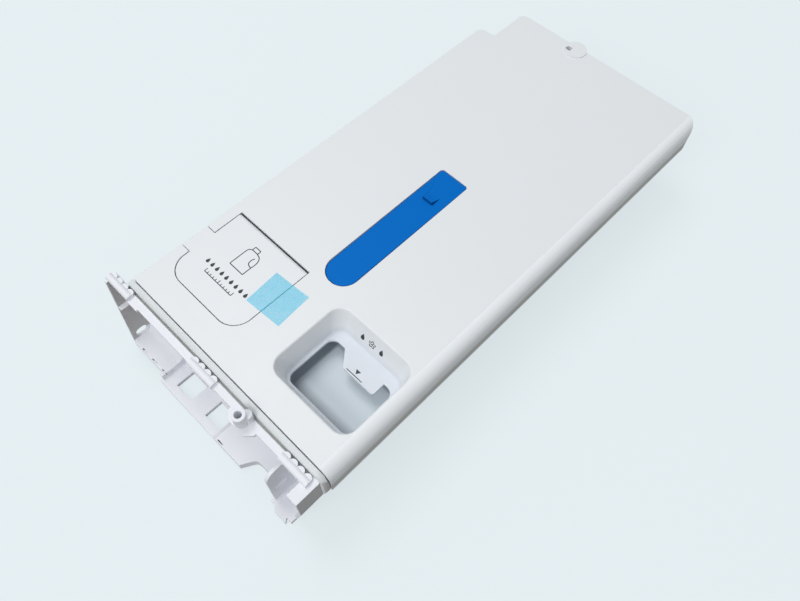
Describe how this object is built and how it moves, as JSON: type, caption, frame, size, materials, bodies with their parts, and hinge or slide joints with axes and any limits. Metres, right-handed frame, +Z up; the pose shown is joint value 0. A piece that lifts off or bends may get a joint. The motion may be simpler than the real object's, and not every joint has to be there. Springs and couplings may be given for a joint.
{
  "type": "detergent dispenser drawer",
  "caption": "Washing machine dispenser drawer with a hinged filler lid, a softener funnel, a press lever, a two-part tank with rear outlet valves and a bracket for the fascia.",
  "frame": {"origin": "middle of the underside of the whole drawer, fascia end to rear tab", "axes": "+X to the right seen from the front, +Y from the fascia end to the rear, +Z up"},
  "size_m": [0.185, 0.381, 0.075],
  "materials": {
    "cover_white": "off-white moulded plastic, satin gloss",
    "lid_white": "off-white moulded plastic, satin gloss",
    "bracket_white": "white moulded plastic, fine satin",
    "tank_white": "natural white moulded plastic",
    "lever_blue": "bright blue moulded plastic",
    "tape_film": "pale blue clear film",
    "seal_rubber": "grey rubber",
    "spring_steel": "drawn spring wire",
    "screw_steel": "zinc-plated steel",
    "valve_grey": "grey moulded plastic",
    "plunger_blue": "blue moulded plastic",
    "float_white": "pale moulded plastic",
    "magnet_dark": "dark coated magnet"
  },
  "bodies": {
    "drawer": {"top_cover": "cover_white", "drawer_tray": "tank_white", "front_bracket": "bracket_white", "bracket_screws": "screw_steel", "lever_spring": "spring_steel", "detergent_valve_body": "valve_grey", "detergent_valve_spring": "spring_steel", "detergent_valve_washer": "seal_rubber", "detergent_strainer": "valve_grey", "softener_valve_body": "valve_grey", "softener_valve_spring": "spring_steel", "softener_valve_washer": "seal_rubber", "softener_strainer": "valve_grey"},
    "lid": {"detergent_lid": "lid_white", "lid_seal": "seal_rubber", "transport_tape": "tape_film"},
    "lever": {"release_lever": "lever_blue"},
    "detergent_plunger": {"detergent_valve_plunger": "plunger_blue"},
    "detergent_level": {"detergent_float": "float_white", "detergent_float_magnet": "magnet_dark"},
    "softener_plunger": {"softener_valve_plunger": "plunger_blue"},
    "softener_level": {"softener_float": "float_white", "softener_float_magnet": "magnet_dark"}
  },
  "joints": [
    {"name": "lid_hinge", "type": "hinge", "parent": "drawer", "child": "lid", "pos_m": [-0.03925, -0.09005, 0.0658], "axis": [-1, 0, 0], "range_deg": [0, 95]},
    {"name": "lever_press", "type": "hinge", "parent": "drawer", "child": "lever", "pos_m": [0.0059, 0.02405, 0.0656], "axis": [1, 0, 0], "range_deg": [0, 5], "stiffness_Nm_per_rad": 0.4, "springref_deg": -8.59, "deforming": ["lever_spring"]},
    {"name": "detergent_valve_push", "type": "slide", "parent": "drawer", "child": "detergent_plunger", "axis": [0, -1, 0], "range_m": [0, 0.003], "stiffness_N_per_m": 40, "springref_m": -0.006, "deforming": ["detergent_valve_spring"]},
    {"name": "detergent_float_swing", "type": "hinge", "parent": "drawer", "child": "detergent_level", "pos_m": [-0.0265, 0.09845, 0.0142], "axis": [-1, 0, 0], "range_deg": [0, 30]},
    {"name": "softener_valve_push", "type": "slide", "parent": "drawer", "child": "softener_plunger", "axis": [0, -1, 0], "range_m": [0, 0.003], "stiffness_N_per_m": 40, "springref_m": -0.006, "deforming": ["softener_valve_spring"]},
    {"name": "softener_float_swing", "type": "hinge", "parent": "drawer", "child": "softener_level", "pos_m": [0.0525, 0.09845, 0.0142], "axis": [-1, 0, 0], "range_deg": [0, 30]}
  ]
}
